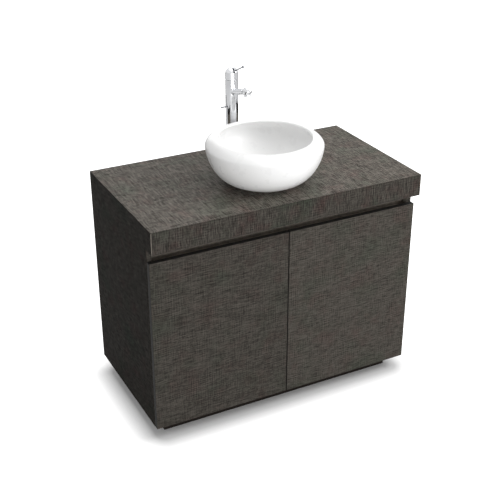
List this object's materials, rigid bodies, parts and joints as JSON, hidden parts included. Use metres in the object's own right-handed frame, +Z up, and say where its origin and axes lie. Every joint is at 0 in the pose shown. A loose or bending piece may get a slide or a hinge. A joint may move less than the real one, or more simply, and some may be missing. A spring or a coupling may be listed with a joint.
{
  "type": "vessel sink on vanity",
  "caption": "Round vessel basin on a two-door floor vanity with a thick mitred top, a tall single-lever tap, a pop-up waste and a bottle trap.",
  "frame": {"origin": "on the floor at the centre of the footprint", "axes": "+Z up, +Y towards the wall, +X to the right when facing the doors"},
  "size_m": [0.9, 0.496, 1.0434],
  "materials": {
    "linen_laminate": "woven-linen pattern laminate on board, low sheen",
    "dark_board": "plain dark melamine-faced board",
    "glazed_ceramic": "white gloss glaze",
    "chrome": "polished chrome",
    "plated_steel": "satin plated steel",
    "brass": "turned brass",
    "white_plastic": "white moulded plastic",
    "black_rubber": "black rubber",
    "clear_rubber": "soft translucent rubber"
  },
  "bodies": {
    "vanity": {"aerator": "chrome", "apron_soffit": "linen_laminate", "back_panel": "dark_board", "ball_rod_nut": "chrome", "basin_bowl": "glazed_ceramic", "basin_gasket": "clear_rubber", "bottom_panel": "dark_board", "cartridge": "white_plastic", "cold_inlet": "plated_steel", "front_apron": "linen_laminate", "grip_channel": "linen_laminate", "hot_inlet": "plated_steel", "left_lower_hinge_arm": "plated_steel", "left_lower_hinge_plate": "plated_steel", "left_side_panel": "linen_laminate", "left_upper_hinge_arm": "plated_steel", "left_upper_hinge_plate": "plated_steel", "plinth_back": "dark_board", "plinth_front": "linen_laminate", "plinth_left": "linen_laminate", "plinth_right": "linen_laminate", "rear_fixing_rail": "dark_board", "right_lower_hinge_arm": "plated_steel", "right_lower_hinge_plate": "plated_steel", "right_side_panel": "linen_laminate", "right_upper_hinge_arm": "plated_steel", "right_upper_hinge_plate": "plated_steel", "tap_base": "chrome", "tap_body": "chrome", "tap_clamp_plate": "plated_steel", "tap_locknut": "brass", "tap_spout": "chrome", "tap_stud": "brass", "trap_body": "white_plastic", "trap_cup": "white_plastic", "trap_inlet_nut": "white_plastic", "trap_outlet_nut": "white_plastic", "trap_outlet_pipe": "white_plastic", "waste_body": "chrome", "waste_locknut": "brass", "waste_washer": "black_rubber", "worktop": "linen_laminate"},
    "left_door": {"left_door": "linen_laminate", "left_lower_hinge_cup": "plated_steel", "left_lower_door_bumper": "clear_rubber", "left_upper_hinge_cup": "plated_steel", "left_upper_door_bumper": "clear_rubber"},
    "right_door": {"right_door": "linen_laminate", "right_lower_hinge_cup": "plated_steel", "right_lower_door_bumper": "clear_rubber", "right_upper_hinge_cup": "plated_steel", "right_upper_door_bumper": "clear_rubber"},
    "lever_cap": {"lever_cap": "chrome"},
    "lever_pin": {"lever_pin": "chrome"},
    "waste_lift": {"lift_pin": "plated_steel", "lift_rod": "plated_steel", "linkage_strap": "plated_steel"},
    "ball_rod": {"ball_rod": "plated_steel"},
    "waste_plug": {"waste_plug": "chrome"}
  },
  "joints": [
    {"name": "left_door_hinge", "type": "hinge", "parent": "vanity", "child": "left_door", "pos_m": [-0.4445, -0.215, 0.332], "axis": [0, 0, -1], "range_deg": [0, 105]},
    {"name": "right_door_hinge", "type": "hinge", "parent": "vanity", "child": "right_door", "pos_m": [0.4445, -0.215, 0.332], "axis": [0, 0, 1], "range_deg": [0, 105]},
    {"name": "lever_swivel", "type": "hinge", "parent": "vanity", "child": "lever_cap", "pos_m": [0, 0.1565, 0.981], "axis": [0, 0, 1], "range_deg": [-50, 50]},
    {"name": "lever_tilt", "type": "hinge", "parent": "lever_cap", "child": "lever_pin", "pos_m": [0, 0.1565, 1.001], "axis": [-1, 0, 0], "range_deg": [0, 20]},
    {"name": "waste_lift_slide", "type": "slide", "parent": "vanity", "child": "waste_lift", "axis": [0, 0, 1], "range_m": [0, 0.036]},
    {"name": "ball_rod_hinge", "type": "hinge", "parent": "vanity", "child": "ball_rod", "pos_m": [0, -0.037, 0.61], "axis": [1, 0, 0], "range_deg": [0, 10.5]},
    {"name": "waste_plug_slide", "type": "slide", "parent": "vanity", "child": "waste_plug", "axis": [0, 0, 1], "range_m": [-0.004, 0]}
  ],
  "couplings": [
    {"joint": "ball_rod_hinge", "follows": "waste_lift_slide", "rad_per_m": 5.062},
    {"joint": "waste_plug_slide", "follows": "waste_lift_slide", "ratio": -0.111}
  ]
}
